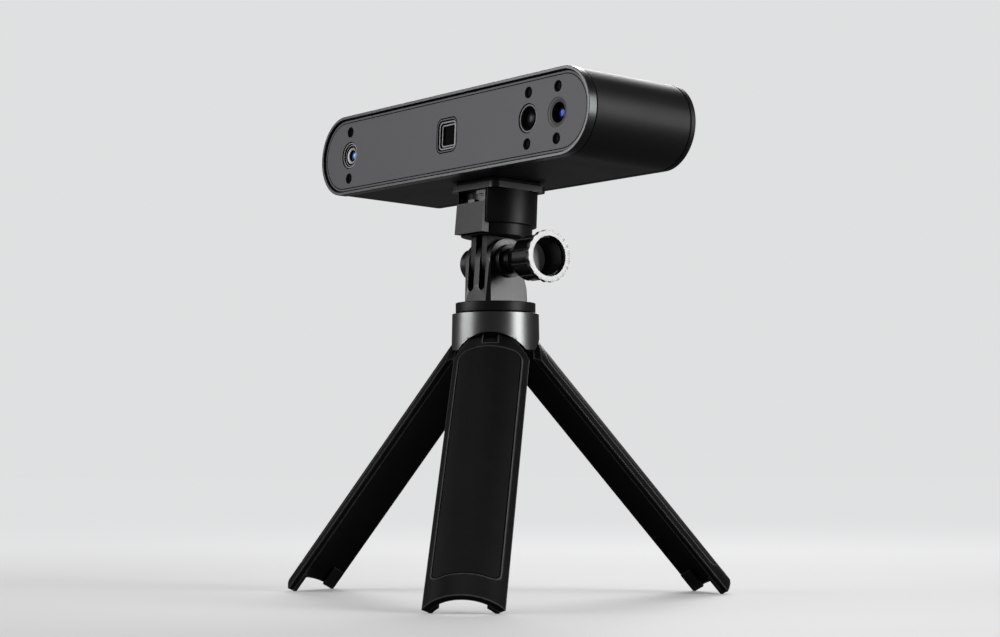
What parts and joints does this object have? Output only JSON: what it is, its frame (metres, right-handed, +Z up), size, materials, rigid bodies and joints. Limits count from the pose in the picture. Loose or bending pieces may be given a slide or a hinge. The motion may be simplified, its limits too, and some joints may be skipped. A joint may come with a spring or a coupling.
{
  "type": "three-d scanner",
  "caption": "Bar-shaped stereo scanner head on a tilting finger joint and a folding mini tripod; it reads the shape of an object in front of it with cameras and projected light.",
  "frame": {"origin": "on the floor under the tripod's axis", "axes": "+Z up, X along the head, +X towards the thumbscrew, -Y out of the head's front"},
  "size_m": [0.171, 0.1592, 0.1786],
  "materials": {
    "rim_metal": "satin anodised",
    "panel_paint": "fine matt paint",
    "dark_anodised": "matt black anodised",
    "dark_plastic": "fine grained",
    "grey_plastic": "satin",
    "gloss_black": "polished",
    "lens_glass": "coated",
    "light_pipe": "frosted",
    "board_green": "solder mask",
    "bare_aluminium": "turned",
    "steel": "zinc plated",
    "brass": "knurled",
    "rubber": "moulded",
    "soft_grip": "soft touch",
    "collar_metal": "satin gunmetal anodised"
  },
  "bodies": {
    "hub": {"friction_disc": "dark_plastic", "collar": "collar_metal", "hub_core": "dark_plastic", "hinge_pins": "steel"},
    "clevis": {"clevis": "dark_plastic", "clevis_nut": "steel", "knob_washer": "steel", "pan_bolt": "steel", "pan_nut": "steel"},
    "thumbscrew": {"tilt_bolt": "steel", "knob_barrel": "gloss_black", "knob_floor": "bare_aluminium", "knob_ring": "bare_aluminium"},
    "release": {"release_button": "grey_plastic", "release_latch": "steel"},
    "scan_button": {"scan_button": "bare_aluminium"},
    "front_leg": {"front_leg": "dark_plastic", "front_grip": "soft_grip", "front_feet": "rubber"},
    "left_leg": {"left_leg": "dark_plastic", "left_grip": "soft_grip", "left_feet": "rubber"},
    "right_leg": {"right_leg": "dark_plastic", "right_grip": "soft_grip", "right_feet": "rubber"},
    "head": {"front_bezel": "rim_metal", "front_panel": "panel_paint", "housing": "dark_anodised", "rear_cover": "dark_anodised", "gaskets": "rubber", "optical_bench": "bare_aluminium", "housing_screws": "steel", "lamp_windows": "gloss_black", "lamp_boards": "board_green", "projector_window": "gloss_black", "projector_engine": "grey_plastic", "projector_lens": "lens_glass", "projector_heat_sink": "bare_aluminium", "main_board": "board_green", "board_screws": "steel", "data_socket": "steel", "scan_switch": "dark_plastic", "scan_spring": "steel", "status_light": "light_pipe", "thread_insert": "brass", "camera_screw": "steel", "release_plate": "dark_plastic", "plate_pad": "rubber", "adapter_body": "dark_plastic", "release_spring": "steel", "left_camera_barrel": "dark_anodised", "left_camera_lens": "lens_glass", "left_sensor_board": "board_green", "colour_camera_barrel": "dark_anodised", "colour_camera_lens": "lens_glass", "colour_sensor_board": "board_green", "right_camera_barrel": "dark_anodised", "right_camera_lens": "lens_glass", "right_sensor_board": "board_green"}
  },
  "joints": [
    {"name": "front_leg_fold", "type": "hinge", "parent": "hub", "child": "front_leg", "pos_m": [0.00921, -0.00859, 0.08978], "axis": [0.682, 0.7314, 0], "range_deg": [0, 42]},
    {"name": "left_leg_fold", "type": "hinge", "parent": "hub", "child": "left_leg", "pos_m": [-0.01205, -0.00368, 0.08978], "axis": [0.2924, -0.9563, 0], "range_deg": [0, 42]},
    {"name": "right_leg_fold", "type": "hinge", "parent": "hub", "child": "right_leg", "pos_m": [0.00283, 0.01228, 0.08978], "axis": [-0.9744, 0.225, 0], "range_deg": [0, 42]},
    {"name": "pan", "type": "hinge", "parent": "hub", "child": "clevis", "pos_m": [0, 0, 0.10488], "axis": [0, 0, 1], "continuous": true},
    {"name": "tilt", "type": "hinge", "parent": "clevis", "child": "head", "pos_m": [0, 0, 0.11938], "axis": [1, 0, 0], "range_deg": [-85, 85]},
    {"name": "thumbscrew_turn", "type": "hinge", "parent": "clevis", "child": "thumbscrew", "pos_m": [0, 0, 0.11938], "axis": [1, 0, 0], "continuous": true},
    {"name": "release_press", "type": "slide", "parent": "head", "child": "release", "axis": [0, 0.9991, -0.0419], "range_m": [0, 0.0015], "stiffness_N_per_m": 800, "springref_m": -0.0015, "deforming": ["release_spring"]},
    {"name": "scan_press", "type": "slide", "parent": "head", "child": "scan_button", "axis": [0, -0.9991, 0.0419], "range_m": [0, 0.0007], "stiffness_N_per_m": 600, "springref_m": -0.001, "deforming": ["scan_spring"]}
  ]
}
